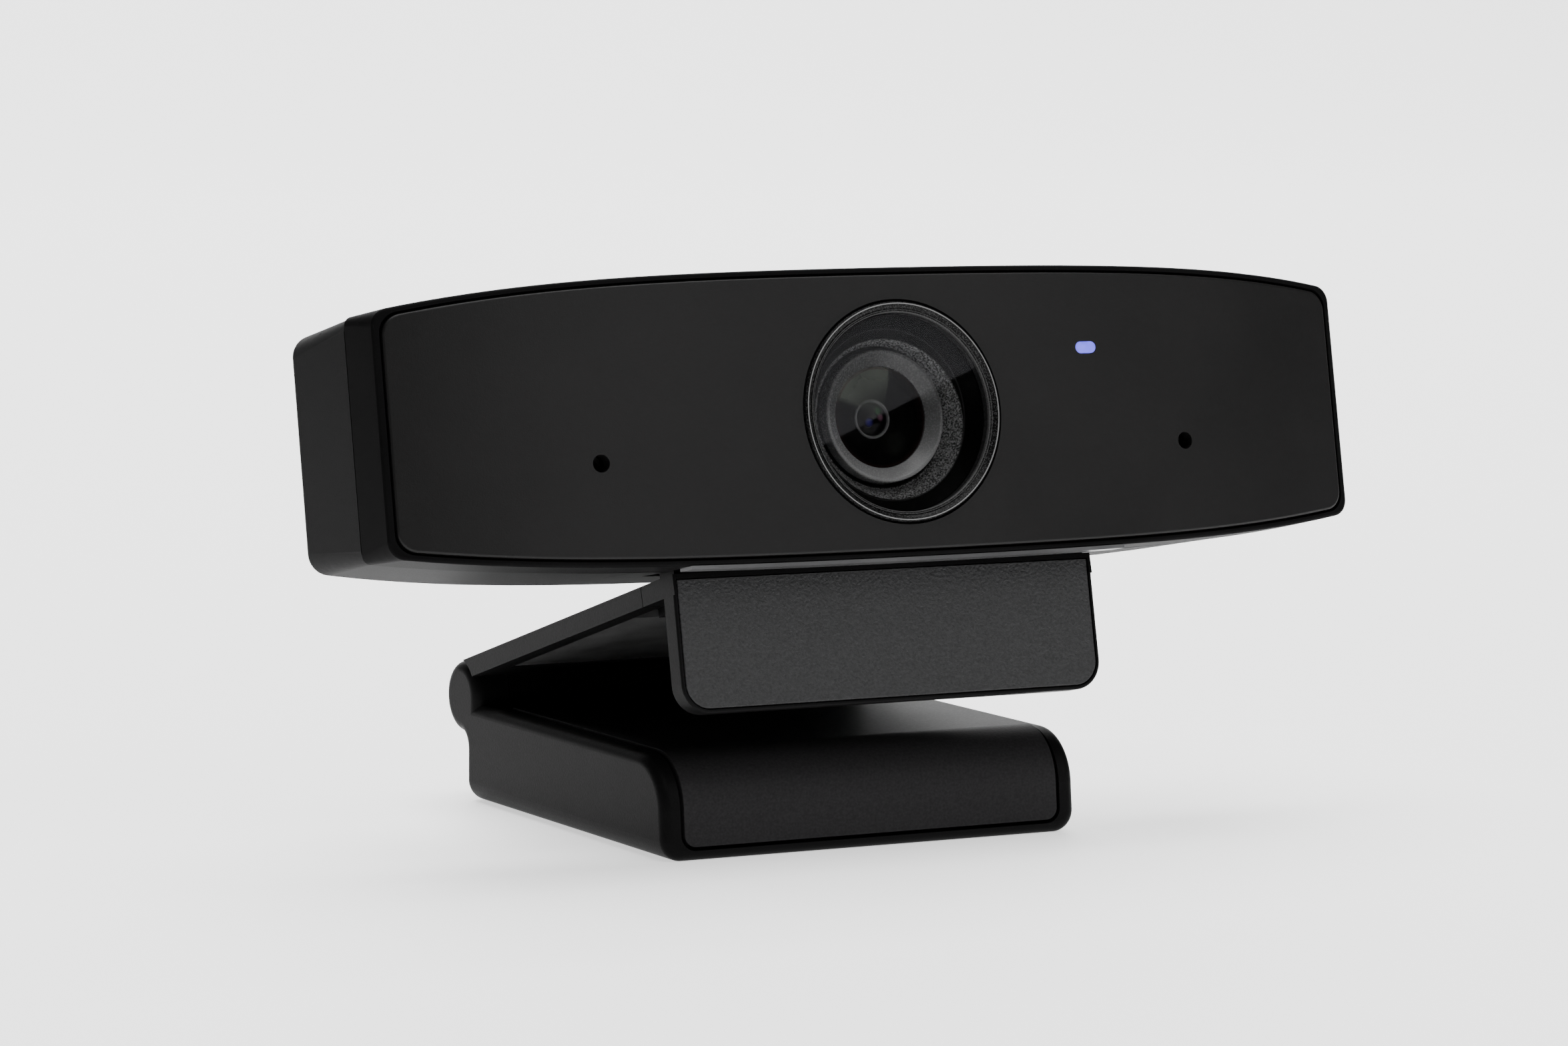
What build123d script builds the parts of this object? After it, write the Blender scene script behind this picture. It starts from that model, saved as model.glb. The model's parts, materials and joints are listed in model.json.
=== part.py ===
"""Webcam on a folding clip stand, in millimetres.

+Z is up, the lens looks towards -Y, and the lower arm rests on Z = 0. The origin is the middle of the
object's footprint. Three frames are used while modelling:
  stand frame   Y counted back from the middle of the front panel, Z counted up from the desk
  head frame    origin in the middle of the front panel, tilted back with the head
  arm frame     origin on the rear hinge axis, with the upper arm level
"""
from build123d import *
import math
import os

# ---- Pose at rest ----
HEAD_TILT = 11.0  # the head looks up by this much
ARM_RISE = 16.2  # the upper arm climbs this much towards the front
HEAD_Z = 43.3  # the front panel's middle above the desk
BOX_MID_Y = 26.281  # the middle of the whole object's box in the stand frame

# ---- Head casing ----
PANEL_HALF_W = 52.38
PANEL_HALF_H = 13.38
PANEL_T = 1.3
PANEL_ROUND = 0.25
PANEL_GROOVE = 0.24  # shadow gap round the front panel and the lens ring
PANEL_CORNER = 2.0
CROWN_DROP = 2.48  # how much lower the top is at the ends than in the middle
CROWN_QUARTIC = 0.72
FRONT_BOW = 4.03  # how far the front curves back at its ends
FRONT_BOW_END = 4.09  # the same at the very end of the casing
FRONT_QUARTIC = 0.61
BOW_HALF_W = 52.5  # half width over which both bows are measured
LIP_SET_BACK = 0.12  # the bezel's lip stands this far behind the panel's face
CASE_NOSE = (52.72, 14.08)  # half width and half height of the casing at Y = 0
CASE_SEAM = (53.87, 14.25)  # at the seam between the two shells
CASE_BACK = (53.7, 13.9)  # at the back
NOSE_CORNER = 2.7  # corner radii of the same three sections
SEAM_CORNER = 0.9
BACK_CORNER = 2.2
LIP_ROUND = 0.3
BAND = 5.15  # depth of the bezel's tapered band, from the panel's face to the seam
SEAM_Y = BAND + FRONT_BOW_END
BACK_Y = 22.8
BACK_ROUND = 0.6
WALL = 1.6
FRONT_WALL = 1.2  # wall behind the front panel

# ---- Lens group, radii and depths behind the panel's face ----
RING_R = 10.72
RING_PROUD = 0.25
WINDOW_R = 9.66
WINDOW_Y = 0.35
WINDOW_T = 0.9
SHROUD_R = 9.85
SHROUD_BACK = 5.4
BARREL_R = 6.5
BARREL_Y = 3.6
BARREL_LAND_Y = 4.6  # inner edge of the barrel ring's bevel
FUNNEL_R, FUNNEL_Y = 8.4, 2.8  # where the shroud's smooth funnel meets its stippled cone
BARREL_BACK = 11.6
LENS_R = 4.95
STOP_Y = 6.3
STOP_T = 0.4
EYE_R = 1.65  # the small inner lens
HOLDER_HALF = 7.4
SENSOR_BOARD_Y = 13.2

# ---- Front openings ----
MIC_X, MIC_Z = 32.4, -3.8
MIC_HOLE_R = 0.85
LAMP_X, LAMP_Z = 21.4, 5.75
LAMP_W, LAMP_H = 2.3, 1.15

# ---- Boards ----
BOARD_Y = 17.0
BOARD_T = 1.2
BOARD_HALF_W = 46.0
BOARD_Z = (-7.6, 9.6)
BOARD_SCREW_X = 42.0
POST_SPLIT = 11.2  # where the screw posts of the two shells meet
COVER_SCREW_X = 49.2
COVER_SCREW_Z = 5.6
POST_R = 2.1

# ---- Openings in the rear cover ----
VENT_W, VENT_H = 0.9, 5.0
VENT_Z = 4.5
VENT_COUNT = 13
VENT_PITCH = 2.6
GLAND_X, GLAND_Z = 0.0, -4.6
GLAND_R = 2.6
GLAND_BORE_R = 1.7

# ---- Tilt hinge, in the head frame ----
TILT_Y, TILT_Z = 8.43, -11.91
TILT_PIN_R = 1.0
TILT_PIN_HALF = 26.6
TILT_BARREL_R = 2.4
TILT_BARREL_HALF = 22.8
POCKET_HALF_W = 24.0
POCKET_FRONT, POCKET_BACK, POCKET_TOP = 3.0, 11.3, -9.2
POCKET_WALL = 1.1
POCKET_CHEEK = 3.4
TILT_SLEEVE_R = 1.65
TRIM_DROP = 0.36  # how far the trim strip hangs below the bezel's lip

# ---- Upper arm, in the arm frame ----
ARM_HALF_W = 23.3
ARM_T = 2.0
ARM_TOP = 3.5
HOOK_FRONT = -51.2
HOOK_SEAM = -44.2
HOOK_LEAN = 4.15  # the hook leans back by this much going down, with the arm level
HOOK_T = 2.2
HOOK_DROP = 13.5
HOOK_CORNER = 2.9
HOOK_EDGE = 0.2
HOOK_JOIN = 0.12  # shadow gap between the hook and the upper arm
HOOK_SCREW_X = (-12.0, 0.0, 12.0)
HOOK_SCREW_SET_BACK = 3.6
TONGUE_HALF_W = 18.0
TONGUE_BACK = 7.2
TONGUE_T = 0.88
INLAY_EDGE = 0.32
INLAY_GAP = 0.12
INLAY_T = 0.8
INLAY_TOP = 0.5  # the inlay stops this far below the arm's top
GRIP_HALF_W = 19.4
GRIP_TOP, GRIP_BOTTOM = -3.6, -8.5
NOTCH_BACK = -4.2  # the arm's corners are cut back to here to clear the knuckles
LINER_FRONT, LINER_BACK = TONGUE_BACK + 0.4, -8.5
SLEEVE_R = 2.6
SLEEVE_LEN = 8.0
RUN = 0.05  # running clearance on the hinge pins
GAP = 0.35  # clearance between bodies that move past each other

# ---- Lower arm, in the stand frame ----
CLIP_Y, CLIP_Z = 51.5, 10.6  # rear hinge axis
KNUCKLE_R = 3.7
KNUCKLE_W = 4.0
BARREL_HALF = 19.0
CLIP_PIN_R = 1.5
CLIP_PIN_HALF = 22.6
LOW_HALF_W = 23.15
LOW_TOP = 10.05
PAD_RISE = 0.25  # the pad's top stands this much above the rims
NOSE_R = 5.55
NOSE_Y, NOSE_Z = 10.75, 4.5
RIM_ROUND = 1.1
FRONT_LEAN = 5.7
LOW_BACK = 50.2
PAD_T = 1.5
PAD_HALF_W = 20.9
PAD_BACK = 43.5
PAD_GROOVE = 0.38
LIP_H = 1.05
BASE_SEAM = 1.95
BASE_ROUND = 2.2
PAD_CORNER = 1.2
INSERT_Y = 27.5
INSERT_BORE_R = 3.2
INSERT_R = 4.3
INSERT_LEN = 6.0
BASE_SCREW_X = 16.5
BASE_SCREW_Y = (14.0, 40.0)
BASE_SCREW_STEP = 2.4

FAR = 90.0  # reach of the cutting blocks


# ---- Small builders ----
def block(x, y, z):
    """Box between two limits on each axis."""
    size = Box(x[1] - x[0], y[1] - y[0], z[1] - z[0])
    return Pos((x[0] + x[1]) / 2, (y[0] + y[1]) / 2, (z[0] + z[1]) / 2) * size


def rod_x(radius, half, y=0.0, z=0.0):
    """Cylinder along X, centred on X = 0."""
    return Pos(0, y, z) * Rot(0, 90, 0) * Cylinder(radius, 2 * half)


def rod_x_span(radius, x, y=0.0, z=0.0):
    """Cylinder along X between two limits."""
    return Pos((x[0] + x[1]) / 2, y, z) * Rot(0, 90, 0) * Cylinder(radius, abs(x[1] - x[0]))


def rod_y(radius, y, x=0.0, z=0.0):
    """Cylinder along Y between two limits."""
    return Pos(x, (y[0] + y[1]) / 2, z) * Rot(90, 0, 0) * Cylinder(radius, y[1] - y[0])


def rod_z(radius, z, x=0.0, y=0.0):
    """Cylinder along Z between two limits."""
    return Pos(x, y, (z[0] + z[1]) / 2) * Cylinder(radius, z[1] - z[0])


def turned(points, x=0.0, z=0.0):
    """Solid turned about the lens axis from (radius, y) points."""
    return Pos(x, 0, z) * revolve(make_face(Polyline(*points, close=True)), Axis.Y)


def bow(x, half, drop, quartic):
    """Drop of a crowned edge at x: nothing in the middle, the whole drop at half."""
    share = (x / half) ** 2
    return drop * ((1 - quartic) * share + quartic * share**2)


def front_bow(x):
    """How far the bowed front lies behind its middle at x."""
    return bow(x, BOW_HALF_W, FRONT_BOW, FRONT_QUARTIC)


def outline(half_w, half_h, corner):
    """Head section: straight sides, crowned top and bottom, rounded corners."""
    xs = [half_w * i / 4 for i in range(-4, 5)]
    crown = [(x, half_h - bow(x, BOW_HALF_W, CROWN_DROP, CROWN_QUARTIC)) for x in xs]
    top = Spline(*crown)
    bottom = Spline(*[(x, -z) for x, z in crown])
    sides = [Line((s * half_w, crown[0][1]), (s * half_w, -crown[0][1])) for s in (-1, 1)]
    face = make_face([top, bottom, *sides])
    return fillet(face.vertices(), corner)


def prism(face, y):
    """Push an XZ sketch from one depth to another."""
    return extrude(Plane.XZ.offset(-y[0]) * face, amount=y[1] - y[0], dir=(0, 1, 0))


def loft_y(sections):
    """Straight loft through (depth, face) sections."""
    return loft([Plane.XZ.offset(-y) * face for y, face in sections], ruled=True)


def behind_front(depth):
    """Everything behind a surface that follows the bowed front, this far behind the panel's face."""
    reach = 60.0
    xs = [reach * i / 5 for i in range(-5, 6)]
    curve = Spline(*[(x, depth + front_bow(x)) for x in xs])
    ends = depth + front_bow(reach)
    back = Polyline((reach, ends), (reach, 40), (-reach, 40), (-reach, ends))
    return Pos(0, 0, -20) * extrude(make_face([curve, back]), amount=40)


def mirror_x(shape):
    """A piece and its mirror image across the middle plane."""
    return [shape, mirror(shape, Plane.YZ)]


# ---- Placement ----
def seat_head(shape):
    return Pos(0, -BOX_MID_Y, HEAD_Z) * Rot(-HEAD_TILT, 0, 0) * shape


def seat_arm(shape):
    return Pos(0, CLIP_Y - BOX_MID_Y, CLIP_Z) * Rot(-ARM_RISE, 0, 0) * shape


def seat_base(shape):
    return Pos(0, -BOX_MID_Y, 0) * shape


def turn(y, z, degrees):
    """Turn a point about the X axis."""
    c, s = math.cos(math.radians(degrees)), math.sin(math.radians(degrees))
    return y * c - z * s, y * s + z * c


def tilt_axis_in_arm():
    """The tilt hinge axis in the arm frame."""
    y, z = turn(TILT_Y, TILT_Z, -HEAD_TILT)
    return turn(y - CLIP_Y, z + HEAD_Z - CLIP_Z, ARM_RISE)


# ---- Head casing ----
def case_section(size, corner, inset=0.0):
    return outline(size[0] - inset, size[1] - inset, corner)


def front_case(inset=0.0):
    """Front half of the casing, grown forward past the bowed face so that it can be trimmed."""
    start = -1.0
    rate = (CASE_SEAM[0] - CASE_NOSE[0]) / SEAM_Y
    nose = (CASE_NOSE[0] + rate * start, CASE_NOSE[1])
    sections = [
        (start, case_section(nose, NOSE_CORNER, inset)),
        (SEAM_Y, case_section(CASE_SEAM, SEAM_CORNER, inset)),
    ]
    return loft_y(sections)


def rear_case(inset=0.0, end=0.0):
    """Rear half of the casing, grown forward past the seam so that it can be trimmed."""
    sections = [
        (BAND - 1.5, case_section(CASE_SEAM, SEAM_CORNER, inset)),
        (BACK_Y - end, case_section(CASE_BACK, BACK_CORNER, inset)),
    ]
    return loft_y(sections)


def rim_ring(outer, inner, depths):
    """Thin wall inside the seam, between two insets and two depths behind the bowed face."""
    ring = prism(case_section(CASE_SEAM, SEAM_CORNER, outer), (0, 20))
    ring -= prism(case_section(CASE_SEAM, SEAM_CORNER, inner), (-1, 21))
    return (ring & behind_front(depths[0])) - behind_front(depths[1])


def pocket_block(wall, y_end, top):
    """Block round the tilt hinge, from the front down past the casing's underside."""
    half = POCKET_HALF_W + wall
    return block((-half, half), (0, y_end), (-20, top))


def lamp_slot(grow, y):
    slot = SlotOverall(LAMP_W + 2 * grow, LAMP_H + 2 * grow)
    return Pos(LAMP_X, 0, LAMP_Z) * prism(slot, y)


def trim_zone(clearance):
    half = POCKET_HALF_W + clearance
    return block((-half, half), (-1, POCKET_FRONT), (-20, -10))


def trim_band(drop):
    """Prism whose lower side is the bezel's lip, or that much lower."""
    return prism(outline(CASE_NOSE[0], CASE_NOSE[1] + drop, NOSE_CORNER), (-1, POCKET_FRONT))


def bezel_blank():
    """The bezel's outside: bowed lip with a rounded outer edge, and the tapered band."""
    blank = front_case() & behind_front(LIP_SET_BACK)
    lip = bowed_edges(blank, LIP_SET_BACK)
    return fillet(lip, LIP_ROUND) - behind_front(BAND)


def bowed_edges(shape, depth):
    """Edges that lie in the bowed surface this far behind the panel's face."""
    def lies_in(edge):
        points = [edge.position_at(t) for t in (0.0, 0.5, 1.0)]
        return all(abs(p.Y - depth - front_bow(p.X)) < 0.05 for p in points)
    return shape.edges().filter_by(lies_in)


def front_shell():
    shell = bezel_blank()
    panel_seat = outline(PANEL_HALF_W + PANEL_GROOVE, PANEL_HALF_H + PANEL_GROOVE, PANEL_CORNER)
    shell -= prism(panel_seat, (-2, SEAM_Y)) - behind_front(PANEL_T)
    shell -= front_case(WALL) & behind_front(PANEL_T + FRONT_WALL)
    top = POCKET_TOP + POCKET_WALL
    case = bezel_blank() + (rear_case() & behind_front(BAND))
    shell += case & pocket_block(POCKET_CHEEK, POCKET_BACK + POCKET_WALL, top) & behind_front(PANEL_T)
    shell += rim_ring(1.25, 2.1, (BAND - 1.5, BAND + 1.2)) - pocket_block(POCKET_CHEEK + 0.5, 40, -5)
    for x, z in post_places():
        shell += rod_y(POST_R, (5.2, POST_SPLIT), x, z) & (front_case(0.4) + rear_case(2.2))
        shell -= rod_y(0.8, (6.4, POST_SPLIT + 1), x, z)
    pocket = (-POCKET_HALF_W, POCKET_HALF_W), (POCKET_FRONT, POCKET_BACK), (-20, POCKET_TOP)
    shell -= block(*pocket)
    shell -= rod_x(TILT_PIN_R, TILT_PIN_HALF, TILT_Y, TILT_Z)
    shell -= trim_zone(0.05) - trim_band(0)
    shell -= rod_y(SHROUD_R + 0.05, (-2, 6))
    shell -= rod_y(RING_R + 0.1, (-2, PANEL_T))
    for side in (-1, 1):
        shell -= rod_y(MIC_HOLE_R + 0.25, (-2, 6), side * MIC_X, MIC_Z)
    shell -= lamp_slot(0.15, (-2, 6))
    return shell


def post_places():
    return [(side * COVER_SCREW_X, end * COVER_SCREW_Z) for side in (-1, 1) for end in (-1, 1)]


def rear_cover():
    outer = rear_case()
    back_edges = outer.faces().sort_by(Axis.Y)[-1].edges()
    outer = fillet(back_edges, BACK_ROUND) & behind_front(BAND)
    cover = outer - rear_case(WALL, WALL)
    cover -= rim_ring(1.2, 2.2, (BAND - 2, BAND + 1.3))
    notch = POCKET_WALL + 0.05
    cover -= pocket_block(POCKET_CHEEK + 0.05, POCKET_BACK + notch, POCKET_TOP + notch)
    for x, z in post_places():
        cover += rod_y(POST_R, (POST_SPLIT + 0.1, BACK_Y - 0.5), x, z) & outer
        cover -= rod_y(1.5, (BACK_Y - 1.4, BACK_Y + 1), x, z)
        cover -= rod_y(0.85, (SEAM_Y, BACK_Y), x, z)
    for x, z in board_screw_places():
        cover += rod_y(1.8, (BOARD_Y + BOARD_T, BACK_Y - WALL + 0.3), x, z)
        cover -= rod_y(0.7, (BOARD_Y, BACK_Y - 0.6), x, z)
    vent = prism(SlotOverall(VENT_H, VENT_W, rotation=90), (BACK_Y - 4, BACK_Y + 2))
    for x in vent_places():
        cover -= Pos(x, 0, VENT_Z) * vent
    cover -= rod_y(GLAND_R, (BACK_Y - 4, BACK_Y + 1), GLAND_X, GLAND_Z)
    return cover


def vent_places():
    half = (VENT_COUNT - 1) / 2
    return [(i - half) * VENT_PITCH for i in range(VENT_COUNT)]


def board_screw_places():
    heights = (BOARD_Z[0] + 2.6, BOARD_Z[1] - 2.6)
    return [(side * BOARD_SCREW_X, z) for side in (-1, 1) for z in heights]


def front_panel():
    face = outline(PANEL_HALF_W, PANEL_HALF_H, PANEL_CORNER)
    panel = prism(face, (-1, 8)) & behind_front(0)
    panel = fillet(bowed_edges(panel, 0), PANEL_ROUND) - behind_front(PANEL_T)
    panel -= rod_y(RING_R + PANEL_GROOVE, (-2, 6))
    for side in (-1, 1):
        panel -= rod_y(MIC_HOLE_R, (-2, 6), side * MIC_X, MIC_Z)
    return panel - lamp_slot(0.06, (-2, 6))


def hinge_trim():
    trim = (trim_band(TRIM_DROP) & trim_zone(0)) - trim_band(0)
    trim = trim & block((-30, 30), (-1, POCKET_FRONT), (-20, -13))
    return trim & behind_front(LIP_SET_BACK)


def tilt_pin():
    return rod_x(TILT_PIN_R, TILT_PIN_HALF, TILT_Y, TILT_Z)


# ---- Lens group ----
def lens_ring():
    """Ring round the window: a crest, a sloping face and a fine inner rib."""
    inner = WINDOW_R + 0.04
    crest = -RING_PROUD
    return turned([
        (RING_R, PANEL_T), (RING_R, crest + 0.2), (RING_R - 0.1, crest + 0.04), (RING_R - 0.2, crest),
        (RING_R - 0.32, crest + 0.05), (RING_R - 0.42, crest + 0.16), (inner + 0.3, 0.12),
        (inner + 0.26, 0.02), (inner + 0.12, 0.02), (inner, 0.16), (inner, PANEL_T),
    ])


def lens_window():
    back = WINDOW_Y + WINDOW_T
    return turned([
        (0, WINDOW_Y), (WINDOW_R - 0.15, WINDOW_Y), (WINDOW_R, WINDOW_Y + 0.15), (WINDOW_R, back), (0, back),
    ])


def lens_shroud():
    """Smooth funnel behind the window, then a stippled cone down to the barrel."""
    front = WINDOW_Y + WINDOW_T + 0.05
    return turned([
        (SHROUD_R - 0.25, front), (SHROUD_R, front), (SHROUD_R, SHROUD_BACK), (BARREL_R + 0.1, SHROUD_BACK),
        (BARREL_R + 0.1, SHROUD_BACK - 0.5), (FUNNEL_R - 1.3, SHROUD_BACK - 0.7), (FUNNEL_R, FUNNEL_Y),
        (FUNNEL_R + 0.1, FUNNEL_Y - 0.06),
    ])


def barrel_ring():
    """Bevelled ring on the barrel's front."""
    inner = LENS_R + 0.05
    return turned([
        (BARREL_R, BARREL_Y + 0.2), (BARREL_R, BARREL_Y + 1.4), (inner, BARREL_Y + 1.4),
        (inner, BARREL_LAND_Y), (BARREL_R - 0.42, BARREL_Y + 0.06), (BARREL_R - 0.34, BARREL_Y),
        (BARREL_R - 0.12, BARREL_Y), (BARREL_R - 0.03, BARREL_Y + 0.06),
    ])


def lens_barrel():
    front = BARREL_Y + 1.4
    return turned([
        (BARREL_R, front), (BARREL_R, BARREL_BACK), (3.2, BARREL_BACK), (3.2, 7.2), (LENS_R + 0.05, 7.2),
        (LENS_R + 0.05, front),
    ])


def front_lens():
    """Domed front element."""
    edge_y = BARREL_LAND_Y + 0.15
    crown = 0.9
    dome = ThreePointArc((0, edge_y - crown), (LENS_R / 2, edge_y - crown * 0.76), (LENS_R, edge_y))
    rest = Polyline((LENS_R, edge_y), (LENS_R, edge_y + 0.7), (0, edge_y + 0.7), (0, edge_y - crown))
    return revolve(make_face([dome, rest]), Axis.Y)


def aperture_plate():
    back = STOP_Y + STOP_T
    return turned([(EYE_R + 0.32, STOP_Y), (LENS_R, STOP_Y), (LENS_R, back), (EYE_R + 0.32, back)])


def aperture_ring():
    return turned([
        (EYE_R + 0.02, STOP_Y + 0.05), (EYE_R + 0.1, STOP_Y - 0.12), (EYE_R + 0.24, STOP_Y - 0.12),
        (EYE_R + 0.3, STOP_Y), (EYE_R + 0.3, STOP_Y + STOP_T), (EYE_R + 0.02, STOP_Y + STOP_T),
    ])


def inner_lens():
    dome = ThreePointArc((0, STOP_Y - 0.45), (EYE_R * 0.6, STOP_Y - 0.29), (EYE_R, STOP_Y + 0.05))
    rest = Polyline((EYE_R, STOP_Y + 0.05), (EYE_R, 7.1), (0, 7.1), (0, STOP_Y - 0.45))
    return revolve(make_face([dome, rest]), Axis.Y)


def lens_holder():
    holder = block((-HOLDER_HALF, HOLDER_HALF), (8.0, SENSOR_BOARD_Y), (-HOLDER_HALF, HOLDER_HALF))
    holder -= rod_y(BARREL_R + 0.03, (7, BARREL_BACK))
    return holder - block((-4.6, 4.6), (BARREL_BACK - 0.1, SENSOR_BOARD_Y + 1), (-4.2, 4.2))


def ir_filter():
    return block((-4.5, 4.5), (11.8, 12.1), (-4.1, 4.1))


def image_sensor():
    return block((-3.8, 3.8), (SENSOR_BOARD_Y - 0.7, SENSOR_BOARD_Y), (-3.2, 3.2))


def sensor_board():
    board = block((-13, 13), (SENSOR_BOARD_Y, SENSOR_BOARD_Y + 1.0), (-8.0, 9.6))
    for x in (-10.5, 10.5):
        board -= rod_y(0.9, (SENSOR_BOARD_Y - 1, SENSOR_BOARD_Y + 2), x, 0)
    return board


def board_connector():
    """Stacking connector between the sensor board and the main board."""
    return block((-6, 6), (SENSOR_BOARD_Y + 1.0, BOARD_Y), (5.4, 8.4))


# ---- Electronics ----
def main_board():
    board = block((-BOARD_HALF_W, BOARD_HALF_W), (BOARD_Y, BOARD_Y + BOARD_T), BOARD_Z)
    for x, z in board_screw_places():
        board -= rod_y(0.85, (BOARD_Y - 1, BOARD_Y + 3), x, z)
    return board


def board_screws():
    screws = []
    for x, z in board_screw_places():
        head = rod_y(1.4, (BOARD_Y - 0.9, BOARD_Y), x, z)
        drive = rod_y(0.55, (BOARD_Y - 1, BOARD_Y - 0.5), x, z)
        screws.append(head + rod_y(0.7, (BOARD_Y, BACK_Y - 1.2), x, z) - drive)
    return Compound(screws)


def processor():
    return block((17, 27), (BOARD_Y - 1.0, BOARD_Y), (-4, 6))


def shield_can():
    outer = block((14.5, 29.5), (BOARD_Y - 1.9, BOARD_Y), (-6, 8))
    return outer - block((14.8, 29.2), (BOARD_Y - 1.6, BOARD_Y + 1), (-5.7, 7.7))


def heat_spreader():
    return block((12, 34), (BOARD_Y + BOARD_T, BOARD_Y + BOARD_T + 0.9), (-5, 7))


def cable_socket():
    socket = block((-30, -20), (BOARD_Y - 3.2, BOARD_Y), (-6, -1.5))
    return socket - block((-29.3, -20.7), (BOARD_Y - 4, BOARD_Y - 0.9), (-5.4, -2.1))


def cable_gland():
    """Inlet bush in the back of the casing."""
    gland = rod_y(GLAND_R, (BACK_Y - 2.4, BACK_Y), GLAND_X, GLAND_Z)
    gland += rod_y(GLAND_R + 0.9, (BACK_Y, BACK_Y + 0.9), GLAND_X, GLAND_Z)
    gland += Pos(GLAND_X, BACK_Y + 1.7, GLAND_Z) * Rot(-90, 0, 0) * Cone(GLAND_R + 0.2, GLAND_R - 0.3, 1.6)
    return gland - rod_y(GLAND_BORE_R, (BACK_Y - 4, BACK_Y + 4), GLAND_X, GLAND_Z)


def cover_screws():
    screws = []
    for x, z in post_places():
        head = rod_y(1.4, (BACK_Y - 1.4, BACK_Y - 0.5), x, z)
        drive = rod_y(0.6, (BACK_Y - 0.9, BACK_Y), x, z)
        screws.append(head + rod_y(0.8, (7.0, BACK_Y - 1.4), x, z) - drive)
    return Compound(screws)


def mic_depth():
    """Back of the front wall at a microphone's outer side."""
    return front_bow(MIC_X + 2.1) + PANEL_T + FRONT_WALL


def microphone_seals():
    seal = rod_y(2.0, (mic_depth() + 0.1, mic_depth() + 1.3), MIC_X, MIC_Z)
    seal -= rod_y(MIC_HOLE_R, (0, 8), MIC_X, MIC_Z)
    return Compound(mirror_x(seal))


def microphones():
    front = mic_depth() + 1.3
    body = block((MIC_X - 2.1, MIC_X + 2.1), (front, front + 1.1), (MIC_Z - 2.1, MIC_Z + 2.1))
    body -= rod_y(0.4, (front - 1, front + 0.5), MIC_X, MIC_Z)
    return Compound(mirror_x(body))


def lamp_lens():
    front = front_bow(LAMP_X)
    return lamp_slot(0, (front + 0.05, front + 3.2))


def lamp():
    front = front_bow(LAMP_X) + 3.25
    chip = block((LAMP_X - 1.2, LAMP_X + 1.2), (front, front + 0.8), (LAMP_Z - 0.9, LAMP_Z + 0.9))
    board = block((LAMP_X - 3.5, LAMP_X + 3.5), (front + 0.8, front + 1.6), (LAMP_Z - 2.2, LAMP_Z + 2.2))
    return chip + board


# ---- Upper arm ----
def arm_plate(half):
    """Flat plate of the upper arm between the hook and the hinge axis."""
    return block((-half, half), (HOOK_SEAM, 0), (ARM_TOP - ARM_T, ARM_TOP))


def upper_arm():
    under = ARM_TOP - ARM_T
    knuckle_zone = block((-FAR, FAR), (NOTCH_BACK, FAR), (-FAR, FAR))
    middle = block((-BARREL_HALF, BARREL_HALF), (-FAR, FAR), (-FAR, FAR))
    sides = arm_plate(ARM_HALF_W) & knuckle_zone - middle
    sides -= rod_x(KNUCKLE_R + GAP, ARM_HALF_W + 1)
    arm = arm_plate(ARM_HALF_W) - (knuckle_zone - middle)
    arm += sides & block((-FAR, FAR), (-FAR, -1), (-FAR, FAR))
    arm += rod_x(ARM_TOP, BARREL_HALF)
    recess_x = ARM_HALF_W - 2.2
    arm -= block((-recess_x, recess_x), (HOOK_SEAM - 1, -7.5), (-10, under + 0.9))
    arm += block((-recess_x, recess_x), (-8.3, -7.5), (under, ARM_TOP - 0.5))
    arm -= rod_x(CLIP_PIN_R + 0.2, BARREL_HALF + 1)
    for side in (-1, 1):
        arm -= rod_x_span(SLEEVE_R, (side * (BARREL_HALF - SLEEVE_LEN), side * (BARREL_HALF + 1)))
    for x in HOOK_SCREW_X:
        arm -= rod_z(0.8, (-10, ARM_TOP - 0.35), x, HOOK_SEAM + HOOK_SCREW_SET_BACK)
    return arm


def on_hook(shape):
    """Place a piece drawn on an upright plate: front face at Y = 0, top at Z = 0."""
    return Pos(0, HOOK_FRONT, ARM_TOP) * Rot(HOOK_LEAN, 0, 0) * shape


def hook_blank(edge, y, drop, corner):
    """Upright plate with two rounded lower corners."""
    half = ARM_HALF_W - edge
    plate = block((-half, half), y, (-drop, 0))
    lower = plate.edges().filter_by(Axis.Y).group_by(Axis.Z)[0]
    return fillet(lower, corner)


def inlay_blank(edge, y, top):
    """Sheet on the hook's front, kept this far inside the plate's edges."""
    sheet = hook_blank(edge, y, HOOK_DROP - edge, HOOK_CORNER - edge)
    return sheet, block((-FAR, FAR), (-FAR, 0), (-FAR, ARM_TOP - top))


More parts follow.
